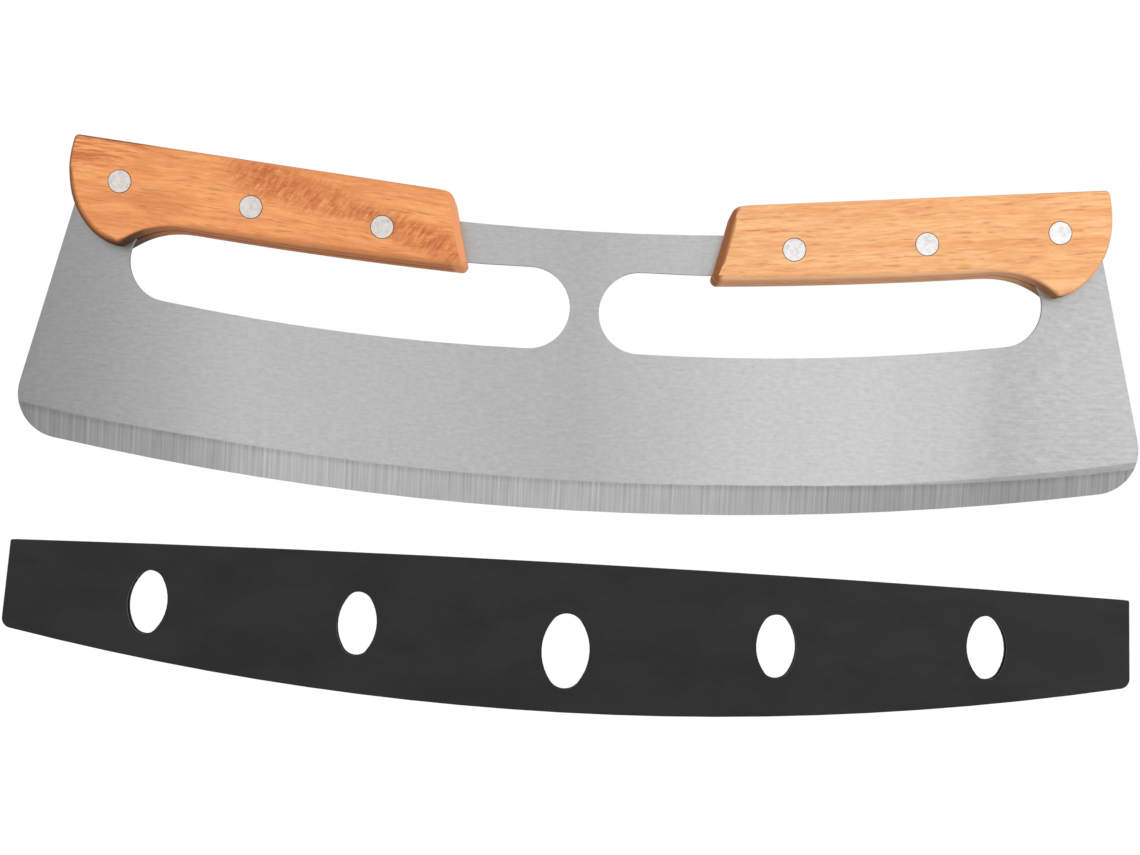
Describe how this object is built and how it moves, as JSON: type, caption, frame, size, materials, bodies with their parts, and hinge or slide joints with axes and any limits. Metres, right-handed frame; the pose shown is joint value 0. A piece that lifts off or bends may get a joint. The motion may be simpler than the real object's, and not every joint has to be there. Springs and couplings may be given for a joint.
{
  "type": "rocking pizza knife",
  "caption": "Two-handed rocking pizza knife: curved steel blade with finger holes, riveted wooden handles and a slip-on plastic edge guard with oval windows.",
  "frame": {"origin": "on the floor under the middle of the guard, at mid thickness", "axes": "+X along the blade to the right seen from the front, +Y from the front face to the back, +Z from the cutting edge up to the handles"},
  "size_m": [0.3572, 0.019, 0.1731],
  "materials": {
    "blade_steel": "brushed along the blade, ground bevel",
    "left_wood": "oiled, orange-brown",
    "right_wood": "oiled, pale orange",
    "rivet_metal": "turned and ground flush",
    "guard_plastic": "fine moulded grain"
  },
  "bodies": {
    "knife": {"blade": "blade_steel", "left_front_scale": "left_wood", "left_back_scale": "left_wood", "right_front_scale": "right_wood", "right_back_scale": "right_wood", "left_outer_rivet_post": "rivet_metal", "left_middle_rivet_post": "rivet_metal", "left_inner_rivet_post": "rivet_metal", "left_outer_rivet_cap": "rivet_metal", "left_middle_rivet_cap": "rivet_metal", "left_inner_rivet_cap": "rivet_metal", "right_outer_rivet_post": "rivet_metal", "right_middle_rivet_post": "rivet_metal", "right_inner_rivet_post": "rivet_metal", "right_outer_rivet_cap": "rivet_metal", "right_middle_rivet_cap": "rivet_metal", "right_inner_rivet_cap": "rivet_metal"},
    "guard": {"blade_guard": "guard_plastic"}
  },
  "joints": [
    {"name": "guard_slide", "type": "slide", "parent": "knife", "child": "guard", "axis": [0, 0, 1], "range_m": [0, 0.0611]}
  ]
}
